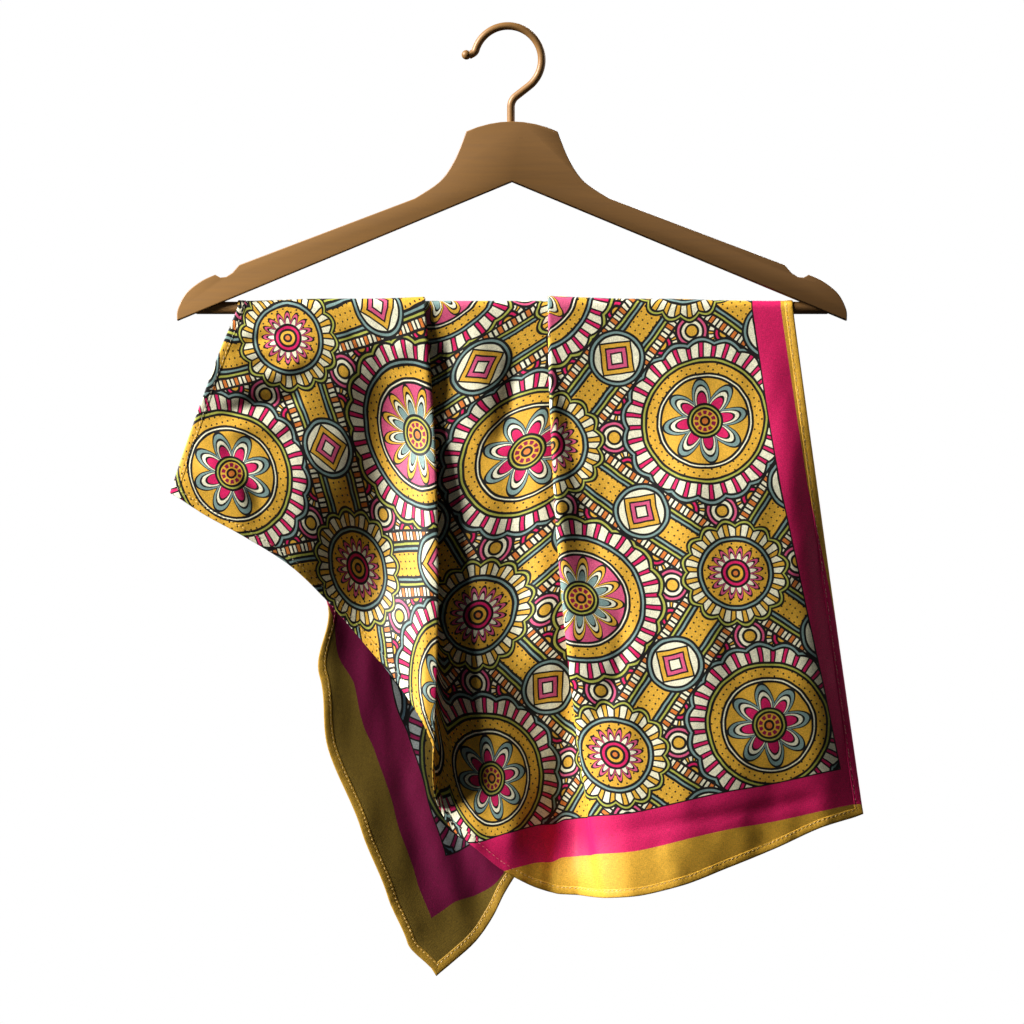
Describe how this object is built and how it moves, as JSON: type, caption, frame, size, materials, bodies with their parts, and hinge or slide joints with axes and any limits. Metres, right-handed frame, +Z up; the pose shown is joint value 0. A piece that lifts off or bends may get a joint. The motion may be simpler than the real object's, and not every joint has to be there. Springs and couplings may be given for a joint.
{
  "type": "square scarf on coat hanger",
  "caption": "Printed silk square scarf with turned hems, folded askew over the bar of a wooden coat hanger with a round wire hook, to hang from a rail or peg",
  "frame": {"origin": "the inside top of the hanger's hook, where it hangs on a rail", "axes": "+Z up, the scarf's front faces -Y, +X to the viewer's right, along the bar"},
  "size_m": [0.4547, 0.0871, 0.6289],
  "materials": {
    "printed_silk": "printed silk twill with a soft sheen",
    "hem_silk": "turned and stitched silk edge",
    "hanger_wood": "smooth brown satin lacquer",
    "hook_metal": "golden brown satin paint"
  },
  "bodies": {
    "root": {"hanger_body": "hanger_wood", "hanger_bar": "hanger_wood", "hanger_hook": "hook_metal", "scarf_front": "printed_silk", "scarf_over_bar": "printed_silk", "scarf_back": "printed_silk", "hem_left": "hem_silk", "hem_right": "hem_silk", "hem_front": "hem_silk", "hem_back": "hem_silk"}
  },
  "joints": []
}
